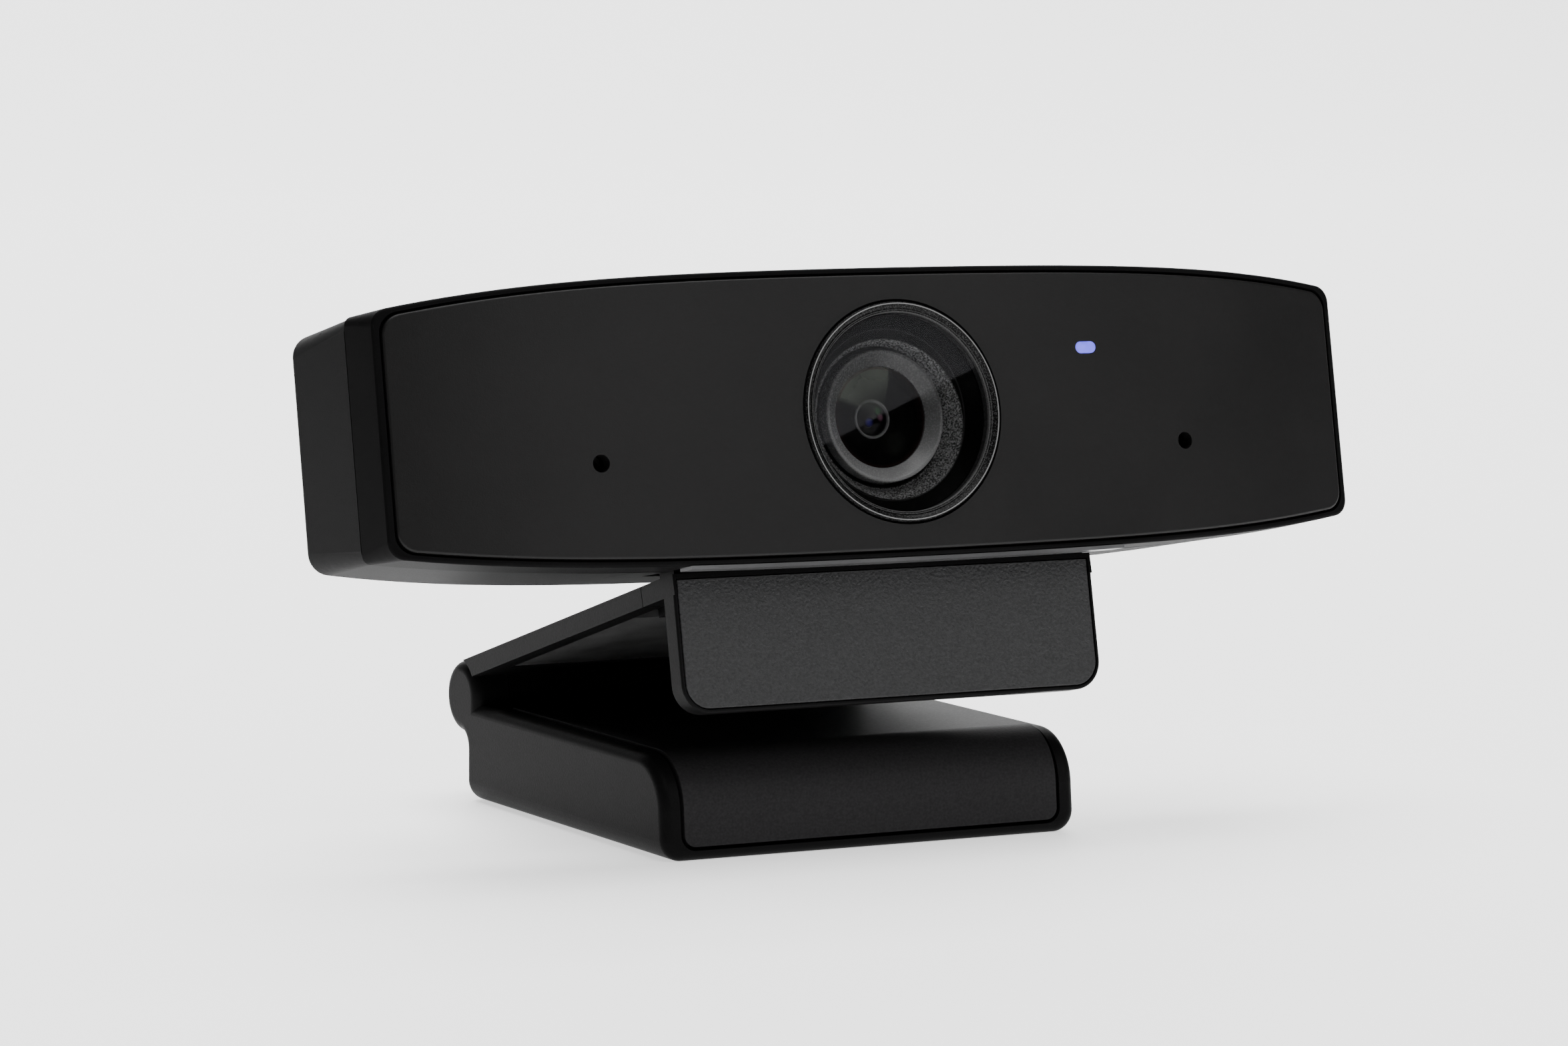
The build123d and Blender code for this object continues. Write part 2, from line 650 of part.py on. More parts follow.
def hook_plate():
    """Upright plate, its top with the tongue under the arm, and the tilt hinge's barrel."""
    under = ARM_TOP - ARM_T
    plate = hook_blank(0, (0, HOOK_T), HOOK_DROP, HOOK_CORNER)
    front_edges = plate.faces().sort_by(Axis.Y)[0].edges().filter_by(Axis.X, reverse=True)
    plate = on_hook(fillet(front_edges, HOOK_EDGE)) & block((-FAR, FAR), (-FAR, 0), (-FAR, ARM_TOP))
    top = block((-ARM_HALF_W, ARM_HALF_W), (HOOK_FRONT, HOOK_SEAM - HOOK_JOIN), (under, ARM_TOP))
    tongue_y = (HOOK_SEAM - 0.5, HOOK_SEAM + TONGUE_BACK)
    tongue = block((-TONGUE_HALF_W, TONGUE_HALF_W), tongue_y, (under, under + TONGUE_T))
    y, z = tilt_axis_in_arm()
    neck = block((-TILT_BARREL_HALF, TILT_BARREL_HALF), (y - 1.5, y + 1.5), (ARM_TOP - 0.5, z))
    hook = plate + top + tongue + neck + rod_x(TILT_BARREL_R, TILT_BARREL_HALF, y, z)
    sheet, below = inlay_blank(INLAY_EDGE, (-1, INLAY_T), INLAY_TOP)
    hook -= on_hook(sheet) & below
    grip_x = (-GRIP_HALF_W - 0.2, GRIP_HALF_W + 0.2)
    hook -= on_hook(block(grip_x, (HOOK_T - 0.5, HOOK_T + 1), (GRIP_BOTTOM - 0.2, GRIP_TOP + 0.2)))
    hook -= rod_x(TILT_PIN_R + 0.2, TILT_BARREL_HALF + 1, y, z)
    for side in (-1, 1):
        ends = (side * (TILT_BARREL_HALF - SLEEVE_LEN), side * (TILT_BARREL_HALF + 1))
        hook -= rod_x_span(TILT_SLEEVE_R, ends, y, z)
    for x in HOOK_SCREW_X:
        hook -= rod_z(0.9, (-10, ARM_TOP - 1), x, HOOK_SEAM + HOOK_SCREW_SET_BACK)
        hook -= rod_z(1.5, (-10, under + 0.45), x, HOOK_SEAM + HOOK_SCREW_SET_BACK)
    return hook


def hook_front_pad():
    sheet, below = inlay_blank(INLAY_EDGE + INLAY_GAP, (0, INLAY_T), INLAY_TOP + INLAY_GAP)
    sheet = fillet(sheet.faces().sort_by(Axis.Y)[0].edges(), 0.12)
    return on_hook(sheet) & below


def hook_grip():
    return on_hook(block((-GRIP_HALF_W, GRIP_HALF_W), (HOOK_T - 0.5, HOOK_T + 0.3), (GRIP_BOTTOM, GRIP_TOP)))


def arm_liner():
    half = ARM_HALF_W - 2.4
    under = ARM_TOP - ARM_T
    return block((-half, half), (HOOK_SEAM + LINER_FRONT, LINER_BACK), (under + 0.15, under + 0.9))


def hook_screws():
    screws = []
    under = ARM_TOP - ARM_T
    y = HOOK_SEAM + HOOK_SCREW_SET_BACK
    for x in HOOK_SCREW_X:
        head = rod_z(1.4, (under + 0.02, under + 0.45), x, y)
        screws.append(head + rod_z(0.75, (under + 0.4, ARM_TOP - 0.4), x, y))
    return Compound(screws)


def sleeve_pair(outer, inner, barrel_half, y=0.0, z=0.0):
    """Split friction bushes at both ends of a hinge barrel."""
    span = (barrel_half - SLEEVE_LEN, barrel_half - 0.1)
    sleeve = rod_x_span(outer, span, y, z) - rod_x_span(inner, (0, 60), y, z)
    return Compound(mirror_x(sleeve))


def clip_sleeves():
    return sleeve_pair(SLEEVE_R, CLIP_PIN_R + RUN, BARREL_HALF)


def tilt_sleeves():
    y, z = tilt_axis_in_arm()
    return sleeve_pair(TILT_SLEEVE_R, TILT_PIN_R + RUN, TILT_BARREL_HALF, y, z)


# ---- Lower arm ----
def low_outline(inset=0.0, rise=0.0):
    """Side view of the lower arm: leaning front, round nose, level top, upright back."""
    radius = NOSE_R - inset
    centre_z = NOSE_Z + rise
    lean = math.radians(FRONT_LEAN)
    foot = (NOSE_Y - radius * math.cos(lean), centre_z + radius * math.sin(lean))
    front = Line((foot[0] - foot[1] * math.tan(lean), 0), foot)
    mid = radius * math.sqrt(0.5)
    top = centre_z + radius
    nose = ThreePointArc(foot, (NOSE_Y - mid, centre_z + mid), (NOSE_Y, top))
    rest = Polyline((NOSE_Y, top), (LOW_BACK, top), (LOW_BACK, 0), front @ 0)
    return make_face([front, nose, rest])


def low_solid(half_w, inset=0.0, rise=0.0):
    return extrude(Plane.YZ * low_outline(inset, rise), amount=half_w, both=True)


def low_body():
    """Lower arm's outside, with both hinge cheeks and rounded rims."""
    body = low_solid(LOW_HALF_W) + rod_x(KNUCKLE_R, LOW_HALF_W, CLIP_Y, CLIP_Z)
    web = (-LOW_HALF_W, LOW_HALF_W), (CLIP_Y - KNUCKLE_R, LOW_BACK), (BASE_SEAM, CLIP_Z)
    body += block(*web)
    body = fillet(body.edges().filter_by(Axis.X).filter_by(is_back_join), 1.6)
    body = fillet(body.edges().filter_by(is_side_foot), BASE_ROUND)
    body = fillet(body.edges().filter_by(is_rim_edge), RIM_ROUND)
    body -= rod_x(ARM_TOP + GAP, BARREL_HALF + 0.3, CLIP_Y, CLIP_Z)
    return body - block((-BARREL_HALF - 0.3, BARREL_HALF + 0.3), (CLIP_Y - 1, 80), (CLIP_Z - 3, 30))


def pad_skin(grow):
    """Layer that wraps the nose and the top, with rounded lower corners at the front."""
    half = PAD_HALF_W + grow
    zone = block((-half, half), (0, PAD_BACK + grow), (LIP_H + PAD_GROOVE - grow, 20))
    lower = zone.edges().filter_by(Axis.Y).group_by(Axis.Z)[0]
    return fillet(lower, PAD_CORNER + grow)


def lower_arm_shell():
    body = low_body() & block((-30, 30), (0, 60), (BASE_SEAM, 20))
    body -= pad_skin(PAD_GROOVE) & (low_solid(60, -5) - low_solid(60, PAD_T + PAD_RISE))
    body -= block((-20.9, 20.9), (9.4, 44.6), (0, LOW_TOP - PAD_T - 1.5))
    for x, y in base_screw_places():
        body += rod_z(2.6, (BASE_SCREW_STEP, LOW_TOP - PAD_T - 1), x, y)
        body -= rod_z(0.95, (0, 6.4), x, y)
    return body - rod_x(CLIP_PIN_R, CLIP_PIN_HALF, CLIP_Y, CLIP_Z)


def is_back_join(edge):
    """The inner corner between the hinge knuckle and the upright back."""
    c = edge.center()
    return abs(c.Y - LOW_BACK) < 0.05 and BASE_SEAM + 0.5 < c.Z < CLIP_Z - 1


def is_side_foot(edge):
    """The two long lower edges of the side walls."""
    c = edge.center()
    return abs(abs(c.X) - LOW_HALF_W) < 0.01 and c.Z < 0.01


def is_rim_edge(edge):
    """Outer edges of the two side walls, above the feet."""
    points = [edge.position_at(t) for t in (0.1, 0.5, 0.9)]
    return all(abs(abs(p.X) - LOW_HALF_W) < 0.01 and p.Z > BASE_ROUND for p in points)


def base_screw_places():
    return [(side * BASE_SCREW_X, y) for side in (-1, 1) for y in BASE_SCREW_Y]


def lower_arm_base():
    plate = low_body() & block((-30, 30), (0, 60), (0, BASE_SEAM))
    plate -= pad_skin(PAD_GROOVE) & block((-30, 30), (0, 6.8), (0, 20))
    plate -= block((-20.9, 20.9), (8.2, 48.0), (LIP_H, 10))
    plate += rod_z(6.2, (LIP_H, INSERT_LEN + 1.0), 0, INSERT_Y)
    plate -= rod_z(INSERT_R, (0.4, 0.4 + INSERT_LEN), 0, INSERT_Y)
    plate -= rod_z(INSERT_BORE_R + 0.3, (-1, 1), 0, INSERT_Y)
    for x, y in base_screw_places():
        plate += rod_z(3.2, (LIP_H, BASE_SCREW_STEP), x, y)
        plate -= rod_z(2.0, (-1, 1.3), x, y)
        plate -= rod_z(1.05, (-1, 5), x, y)
    return plate


def grip_pad():
    return pad_skin(0) & (low_solid(60, 0, PAD_RISE) - low_solid(60, PAD_T))


def tripod_insert():
    return rod_z(INSERT_R, (0.4, 0.4 + INSERT_LEN), 0, INSERT_Y) - rod_z(INSERT_BORE_R, (0, 9), 0, INSERT_Y)


def base_screws():
    screws = []
    for x, y in base_screw_places():
        head = rod_z(1.9, (0.25, 1.3), x, y) - rod_z(0.8, (0, 0.85), x, y)
        screws.append(head + rod_z(0.95, (1.3, 6.2), x, y))
    return Compound(screws)


def clip_pin():
    return rod_x(CLIP_PIN_R, CLIP_PIN_HALF, CLIP_Y, CLIP_Z)


HEAD_PARTS = [
    front_shell, rear_cover, front_panel, hinge_trim, tilt_pin, lens_ring, lens_window, lens_shroud,
    barrel_ring, lens_barrel, front_lens, aperture_plate, aperture_ring, inner_lens, lens_holder,
    ir_filter, image_sensor, sensor_board, board_connector, main_board, board_screws, processor,
    shield_can, heat_spreader, cable_socket, cable_gland, cover_screws, microphone_seals, microphones,
    lamp_lens, lamp,
]
ARM_PARTS = [
    upper_arm, hook_plate, hook_front_pad, hook_grip, arm_liner, hook_screws, clip_sleeves, tilt_sleeves,
]
BASE_PARTS = [lower_arm_shell, lower_arm_base, grip_pad, tripod_insert, base_screws, clip_pin]


def main():
    os.makedirs("parts", exist_ok=True)
    for makers, seat in ((HEAD_PARTS, seat_head), (ARM_PARTS, seat_arm), (BASE_PARTS, seat_base)):
        for maker in makers:
            export_step(seat(maker()), f"parts/{maker.__name__}.step")


main()
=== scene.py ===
import json
import math

import bpy
from mathutils import Matrix, Vector

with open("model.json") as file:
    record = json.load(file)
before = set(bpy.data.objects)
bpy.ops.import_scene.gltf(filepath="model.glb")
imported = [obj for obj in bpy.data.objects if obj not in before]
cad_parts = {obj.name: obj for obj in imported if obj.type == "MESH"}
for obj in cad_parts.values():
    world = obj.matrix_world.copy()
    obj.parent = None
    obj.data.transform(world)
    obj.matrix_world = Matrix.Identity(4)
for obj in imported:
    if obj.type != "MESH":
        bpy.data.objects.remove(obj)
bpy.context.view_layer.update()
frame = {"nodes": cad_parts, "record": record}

NODES = frame["nodes"]
MM = 0.001

# The head at rest: its tilt, and the height of its own origin, which lies on the lens axis. The
# frame's origin is in the middle of the object's box, BOX_MID_Y behind the stand's own origin.
HEAD_TILT = math.radians(11.0)
HEAD_Z = 43.3 * MM
BOX_MID_Y = 26.281 * MM

# Circles round the lens axis: inner and outer radius and softness in mm, and strength. The crest,
# line and rib circles are painted highlights on the ring round the window.
RING_CREST_HIGHLIGHT = (10.47, 10.56, 0.03, 1.0)
RING_LINE_HIGHLIGHT = (9.9, 9.96, 0.02, 0.2)
RING_RIB_HIGHLIGHT = (9.68, 9.76, 0.03, 0.28)
FUNNEL_LINE = (8.36, 8.44, 0.03, 0.3)
DOME_RIM = (4.7, 4.9, 0.06, 0.5)

# Changes of look in the lens group, in mm: where each starts and ends. The stippled cone's outer
# edge is measured from a middle set off the axis, so that its top is painted black as shade. The
# bevel's painted highlight grows towards the bottom. The painted reflection on the window ends
# along a line that rises to the right.
CONE_OUTER = (7.84, 7.96)
CONE_SHADE_MIDDLE = (0.35, -0.35)
CONE_INNER = (6.9, 7.05)
BEVEL_PAINTED_HIGHLIGHT = (-6.0, 1.5)
WINDOW_PAINTED_REFLECTION = (0.56, 0.66)
WINDOW_PAINTED_REFLECTION_SLOPE = 0.4

# Pale fan of painted reflection on the front element: its apex, reach from the axis, and left and
# right sides as bearings in radians, clockwise from straight up.
FAN_APEX = (-0.3, 0.2)
FAN_REACH = (1.6, 4.4)
FAN_LEFT = (-1.22, -1.12)
FAN_RIGHT = (0.36, 0.44)
FAN_FAINTEST = 0.35
FAN_REFLECTION_COLOUR = (0.2, 0.225, 0.185)

# Faint round spot of painted reflection low on the front element: its middle, where it fades out,
# and its strength.
SPOT_MIDDLE = (1.3, -2.6)
SPOT_FADE = (0.9, 1.3)
SPOT_REFLECTION_STRENGTH = 0.105

# Painted glints, the coloured reflections of the coating on the inner element: middle, fade,
# strength and colour.
PAINTED_GLINTS = (
    ((-0.55, -0.35), (0.15, 0.5), 1.0, (0.16, 0.13, 0.9)),
    ((0.55, 0.75), (0.2, 0.55), 0.8, (0.2, 0.65, 0.24)),
    ((0.75, 0.1), (0.15, 0.45), 0.9, (0.9, 0.42, 0.62)),
)

# Noise scales, in cycles per metre, and the scale of one cycle per mm.
CLOUD = 55.0
STREAK = 240.0
METAL_CLOUD = 300.0
GLASS_CLOUD = 90.0
GLASS_SMEAR = 420.0
GLASS_FILM = 900.0
WINDOW_SMUDGE = 60.0
RING_SPECK = 9000.0
BEVEL_GRAIN = 7000.0
CONE_SPECK = 5600.0
FLOOR_CLOUD = 3.0
PER_MM = 1000.0

# Worn edges, paler both as wear and as painted edge highlights: how convex an edge is where this
# paler colour starts and is full, and the colour's gain and lift.
WEAR_AND_HIGHLIGHT_EDGE = (0.53, 0.62)
WEAR_AND_HIGHLIGHT_GAIN = 2.0
WEAR_AND_HIGHLIGHT_LIFT = 0.03

# How far a plastic's roughness drifts with the clouds and with the grain.
ROUGH_CLOUD = 0.012
ROUGH_GRAIN = 0.03
COAT_ROUGH = 0.12

# Moulded plastics and rubbers: darker and lighter colour, roughness, grain and its depth in mm.
# A mottled one changes colour with its grain, the others with the slow clouds.
PLASTICS = {
    "case_black": ((0.0030, 0.0030, 0.0031), (0.0048, 0.0047, 0.0048), 0.50, 0.12, 0.006,
                   dict(specular=0.02, worn_and_highlit_edges=False)),
    "panel_black": ((0.0044, 0.0043, 0.0043), (0.0062, 0.006, 0.006), 0.39, 0.14, 0.009,
                    dict(specular=0.18, worn_and_highlit_edges=False)),
    "clip_black": ((0.0034, 0.0034, 0.0035), (0.0052, 0.0051, 0.0052), 0.44, 0.2, 0.013,
                   dict(specular=0.035, worn_and_highlit_edges=False)),
    "grip_rubber": ((0.0165, 0.0160, 0.0167), (0.0225, 0.0220, 0.0228), 0.45, 0.26, 0.02,
                    dict(specular=0.03, worn_and_highlit_edges=False, mottled=True)),
    "inlay_black": ((0.0115, 0.0115, 0.0118), (0.0235, 0.0235, 0.0243), 0.45, 0.3, 0.08,
                    dict(specular=0.3, worn_and_highlit_edges=False, mottled=True)),
    # Pale ring round the inner element: a painted highlight in place of the shine of its metal.
    "eye_ring": ((0.7, 0.7, 0.7), (0.85, 0.85, 0.85), 0.2, 0.1, 0.004, dict(specular=0.8)),
    "stop_black": ((0.001, 0.001, 0.001), (0.0018, 0.0016, 0.0016), 0.85, 0.2, 0.004,
                   dict(specular=0.03)),
    "barrel_black": ((0.004, 0.004, 0.0042), (0.01, 0.01, 0.0105), 0.28, 0.12, 0.006,
                     dict(specular=0.6)),
    "trim_grey": ((0.02, 0.02, 0.021), (0.03, 0.03, 0.031), 0.35, 0.14, 0.008, {}),
    "rubber_black": ((0.005, 0.005, 0.005), (0.009, 0.009, 0.009), 0.6, 0.2, 0.012,
                     dict(specular=0.3)),
    "holder_black": ((0.008, 0.008, 0.008), (0.014, 0.014, 0.014), 0.5, 0.2, 0.01, {}),
    "chip_black": ((0.012, 0.012, 0.013), (0.02, 0.02, 0.021), 0.5, 0.1, 0.006, {}),
    "board_green": ((0.006, 0.04, 0.016), (0.01, 0.06, 0.025), 0.3, 0.8, 0.02, dict(coat=0.4)),
    "socket_white": ((0.6, 0.58, 0.53), (0.7, 0.68, 0.62), 0.45, 0.2, 0.006, {}),
    "sleeve_white": ((0.6, 0.6, 0.58), (0.7, 0.7, 0.67), 0.4, 0.2, 0.006, {}),
    "lamp_body": ((0.7, 0.7, 0.68), (0.8, 0.8, 0.78), 0.4, 0.2, 0.004, {}),
}

# Metals: colour and roughness. All share one grain and its depth in mm.
METALS = {
    "steel": ((0.55, 0.55, 0.57), 0.32),
    "shield_metal": ((0.62, 0.62, 0.6), 0.3),
    "aluminium": ((0.75, 0.75, 0.77), 0.35),
    "brass": ((0.78, 0.58, 0.27), 0.28),
    "bright_ring": ((0.45, 0.45, 0.48), 0.22),
}
METAL_GRAIN = 0.4
METAL_DEPTH = 0.004
METAL_DARKER = 0.8
METAL_ROUGH = 0.08

# Floor in metres: half its width, how far back it runs, and the sweep up behind. It is dark to the
# left of the camera's view, so that the object's left side has something dark to reflect.
FLOOR_REACH = 3.0
FLOOR_BACK = 2.2
FLOOR_TOP = 2.5
FLOOR_SWEEP = 0.8
FLOOR_STEPS = 16
FLOOR_DARK_X = -0.5
FLOOR_PALE_X = -0.15
FLOOR_GLOW_X = -0.1
FLOOR_GLOW = 0.95
FLOOR_DARK = 0.1
FLOOR_PALE = (0.9, 0.93)

# Camera: place and point looked at in metres, up direction, sensor width and focal length in mm.
CAMERA_PLACE = (-0.25425, -0.4465 - BOX_MID_Y, 0.08428)
CAMERA_AIM = (-0.01407, -0.00196 - BOX_MID_Y, 0.03323)
CAMERA_UP = (0.04, 0.09, 0.99)
CAMERA_SENSOR = 36.0
CAMERA_LENS = 122.53
CAMERA_CLIP = (0.01, 20)

# Key light: the lens window mirrors its bottom edge to the camera, at this slope and KEY_RISE above
# the head's own origin. Sizes are in metres and powers in watts, here and below.
KEY_SIZE = (1.1, 0.8)
KEY_DISTANCE = 1.35
KEY_SLOPE = math.radians(24.6)
KEY_RISE = 0.6 * MM
KEY_POWER = 6.0

# Other lights: place, point aimed at, size and power.
LIGHTS = {
    "front": ((-0.3, -1.05, 1.75), (0, 0, 0.04), (0.9, 0.4), 9.0),
    "top": ((0.1, 0.2, 1.5), (0.1, 0.05, 0.0), (1.6, 1.2), 42.0),
    "back": ((0.9, 1.2, 1.7), (0.9, 2.0, 0.5), (2.0, 0.8), 45.0),
}
WORLD_COLOUR = (0.9, 0.92, 0.95, 1)
WORLD_STRENGTH = 0.08


# ---------------------------------------------------------------- materials
class Nodes:
    """Builds a node material around one Principled shader."""

    def __init__(self, name):
        self.mat = bpy.data.materials.new(name)
        self.mat.use_nodes = True
        self.tree = self.mat.node_tree
        self.bsdf = self.tree.nodes["Principled BSDF"]
        self.coord = self.tree.nodes.new("ShaderNodeTexCoord").outputs["Object"]

    def feed(self, socket, value):
        """Link another node's output to a socket, or set a plain value on it."""
        if hasattr(value, "node"):
            self.tree.links.new(value, socket)
        else:
            socket.default_value = value

    def put(self, **values):
        """Feed the shader; an underscore stands for a space in an input's name."""
        for key, value in values.items():
            self.feed(self.bsdf.inputs[key.replace("_", " ")], value)

    def noise(self, scale, detail=3.0, rough=0.55):
        node = self.tree.nodes.new("ShaderNodeTexNoise")
        node.inputs["Scale"].default_value = scale
        node.inputs["Detail"].default_value = detail
        node.inputs["Roughness"].default_value = rough
        self.tree.links.new(self.coord, node.inputs["Vector"])
        return node.outputs["Fac"]

    def ramp(self, fac, stops):
        """Colour ramp through (position, colour or grey) stops."""
        node = self.tree.nodes.new("ShaderNodeValToRGB")
        self.tree.links.new(fac, node.inputs["Fac"])
        band = node.color_ramp
        for element, (place, colour) in zip(band.elements, stops):
            element.position = place
            element.color = opaque(colour)
        return node.outputs["Color"]

    def span(self, fac, low, high, from_low=0.3, from_high=0.7):
        """Map a range of the input to low and high, clamped; the usual range is a noise's."""
        node = self.tree.nodes.new("ShaderNodeMapRange")
        self.tree.links.new(fac, node.inputs["Value"])
        limits = {"From Min": from_low, "From Max": from_high, "To Min": low, "To Max": high}
        for key, value in limits.items():
            node.inputs[key].default_value = value
        return node.outputs["Result"]

    def rise(self, distance, change_mm, low=0.0, high=1.0):
        """Goes from low to high while a distance crosses the two places of a change."""
        start, end = change_mm
        return self.span(distance, low, high, start * MM, end * MM)

    def mix(self, fac, a, b):
        """Colour between two colours, greys or outputs."""
        node = self.tree.nodes.new("ShaderNodeMix")
        node.data_type = "RGBA"
        self.tree.links.new(fac, node.inputs["Factor"])
        for key, value in (("A", a), ("B", b)):
            self.feed(node.inputs[key], value if hasattr(value, "node") else opaque(value))
        return node.outputs["Result"]

    def math(self, operation, a, b=0.0):
        node = self.tree.nodes.new("ShaderNodeMath")
        node.operation = operation
        self.feed(node.inputs[0], a)
        self.feed(node.inputs[1], b)
        return node.outputs["Value"]

    def add(self, a, b):
        return self.math("ADD", a, b)

    def times(self, a, b):
        return self.math("MULTIPLY", a, b)

    def split(self, vector):
        node = self.tree.nodes.new("ShaderNodeSeparateXYZ")
        self.tree.links.new(vector, node.inputs["Vector"])
        return node.outputs["X"], node.outputs["Y"], node.outputs["Z"]

    def lens_frame(self):
        """X and Z measured from the lens axis: X across the head, Z up it."""
        turn = Matrix.Rotation(HEAD_TILT, 3, "X")
        node = self.tree.nodes.new("ShaderNodeMapping")
        self.tree.links.new(self.coord, node.inputs["Vector"])
        node.inputs["Rotation"].default_value = (HEAD_TILT, 0, 0)
        node.inputs["Location"].default_value = turn @ Vector((0, BOX_MID_Y, -HEAD_Z))
        x, _, z = self.split(node.outputs["Vector"])
        return x, z

    def from_point(self, middle_mm):
        """X and Z measured from a point beside the lens axis."""
        return [self.add(out, -shift * MM) for out, shift in zip(self.lens_frame(), middle_mm)]

    def radius(self, middle_mm=(0.0, 0.0)):
        """Distance from the lens axis, or from a line beside it."""
        x, z = self.from_point(middle_mm)
        return self.math("SQRT", self.add(self.times(x, x), self.times(z, z)))

    def circle(self, inner_mm, outer_mm, soft_mm, strength):
        """A value between two radii round the lens axis, zero elsewhere."""
        distance = self.radius()
        inside = self.rise(distance, (inner_mm - soft_mm, inner_mm + soft_mm))
        outside = self.rise(distance, (outer_mm - soft_mm, outer_mm + soft_mm), strength, 0.0)
        return self.times(inside, outside)

    def bump(self, height, depth_mm):
        node = self.tree.nodes.new("ShaderNodeBump")
        node.inputs["Strength"].default_value = 1.0
        node.inputs["Distance"].default_value = depth_mm * MM
        self.tree.links.new(height, node.inputs["Height"])
        return node.outputs["Normal"]


def opaque(colour):
    """Four channels from a colour or a grey."""
    return (*colour, 1) if isinstance(colour, tuple) else (colour, colour, colour, 1)


def plastic(name, dark, light, rough, grain_mm, depth_mm, options):
    """Moulded plastic or rubber with a spark-eroded grain; some have paler edges, partly wear and
    partly painted edge highlights.
    """
    m = Nodes(name)
    grain = m.noise(PER_MM / grain_mm, detail=2.0, rough=0.6)
    cloud = m.noise(CLOUD, detail=4.0, rough=0.6)
    colour = m.mix(m.span(grain if options.get("mottled") else cloud, 0.0, 1.0), dark, light)
    if options.get("worn_and_highlit_edges", True):
        # Paler convex edges: partly wear, partly painted edge highlights.
        wear_and_highlight = tuple(WEAR_AND_HIGHLIGHT_GAIN * c + WEAR_AND_HIGHLIGHT_LIFT for c in light)
        geometry = m.tree.nodes.new("ShaderNodeNewGeometry")
        edge = m.span(geometry.outputs["Pointiness"], 0.0, 1.0, *WEAR_AND_HIGHLIGHT_EDGE)
        streak = m.noise(STREAK, detail=3.0, rough=0.5)
        colour = m.mix(m.times(edge, m.span(streak, 0.25, 0.8)), colour, wear_and_highlight)
    base = m.span(cloud, rough - ROUGH_CLOUD, rough + ROUGH_CLOUD)
    m.put(Base_Color=colour, Roughness=m.add(base, m.span(grain, -ROUGH_GRAIN, ROUGH_GRAIN)),
          Normal=m.bump(grain, depth_mm), Specular_IOR_Level=options.get("specular", 0.5))
    if "coat" in options:
        m.put(Coat_Weight=options["coat"], Coat_Roughness=COAT_ROUGH)
    return m.mat


def metal(name, colour, rough):
    """Bare metal with a fine grain and a slow change in tone."""
    m = Nodes(name)
    grain = m.noise(PER_MM / METAL_GRAIN, detail=3.0, rough=0.6)
    cloud = m.noise(METAL_CLOUD, detail=3.0, rough=0.6)
    darker = tuple(METAL_DARKER * c for c in colour)
    m.put(Base_Color=m.mix(m.span(cloud, 0.0, 1.0), darker, colour), Metallic=1.0,
          Roughness=m.span(grain, rough - METAL_ROUGH, rough + METAL_ROUGH),
          Normal=m.bump(grain, METAL_DEPTH))
    return m.mat


def ring_material():
    """Ring round the window: speckled black slope, with painted highlights on its crest and on a
    fine line and rib inside it.
    """
    m = Nodes("ring_grey")
    speck = m.noise(RING_SPECK, detail=2.0, rough=0.6)
    slope = m.ramp(speck, [(0.52, 0.002), (0.68, 0.05)])
    # Painted highlights: pale circles on the crest, the fine line and the rib.
    painted_highlights = m.add(m.circle(*RING_CREST_HIGHLIGHT), m.add(m.circle(*RING_RIB_HIGHLIGHT), m.circle(*RING_LINE_HIGHLIGHT)))
    pale = 0.2
    m.put(Base_Color=m.mix(painted_highlights, slope, pale), Roughness=m.span(speck, 0.22, 0.42),
          Normal=m.bump(speck, 0.01), Specular_IOR_Level=0.07)
    return m.mat


def bevel_material():
    """Satin bevel round the front element, paler towards the bottom as a painted highlight."""
    m = Nodes("barrel_grey")
    grain = m.noise(BEVEL_GRAIN, detail=2.0, rough=0.6)
    _, z = m.lens_frame()
    satin, pale = m.ramp(grain, [(0.3, 0.065), (0.7, 0.095)]), 0.48
    # Painted highlight: the bevel turns pale towards the bottom.
    m.put(Base_Color=m.mix(m.rise(z, BEVEL_PAINTED_HIGHLIGHT, 1.0, 0.0), satin, pale),
          Roughness=m.span(grain, 0.2, 0.32), Normal=m.bump(grain, 0.006), Specular_IOR_Level=0.8)
    return m.mat


def shroud_material():
    """Smooth black funnel with a fine line round it, then a stippled grey cone whose top is painted
    black as shade.
    """
    m = Nodes("shroud_grey")
    speck = m.noise(CONE_SPECK, detail=2.0, rough=0.7)
    stipple = m.ramp(speck, [(0.4, 0.03), (0.62, 0.4)])
    # The cone's outer edge is off centre, so its top is painted black as shade.
    cone = m.times(m.rise(m.radius(), CONE_INNER),
                   m.rise(m.radius(CONE_SHADE_MIDDLE), CONE_OUTER, 1.0, 0.0))
    black, pale = 0.0016, 0.1
    m.put(Base_Color=m.mix(m.circle(*FUNNEL_LINE), m.mix(cone, black, stipple), pale),
          Roughness=m.span(cone, 0.4, 0.55, 0.0, 1.0), Normal=m.bump(m.times(speck, cone), 0.05),
          Specular_IOR_Level=0.06)
    return m.mat


def filter_material():
    """Reddish filter in front of the sensor."""
    m = Nodes("filter_glass")
    tint, paler = (0.25, 0.06, 0.07), (0.325, 0.078, 0.091)
    cloud = m.noise(GLASS_CLOUD, detail=3.0, rough=0.6)
    m.put(Base_Color=m.mix(m.span(cloud, 0.0, 1.0), tint, paler),
          Roughness=m.span(cloud, 0.02, 0.05), Specular_IOR_Level=0.6, Coat_Weight=1.0,
          Coat_Roughness=0.02)
    return m.mat


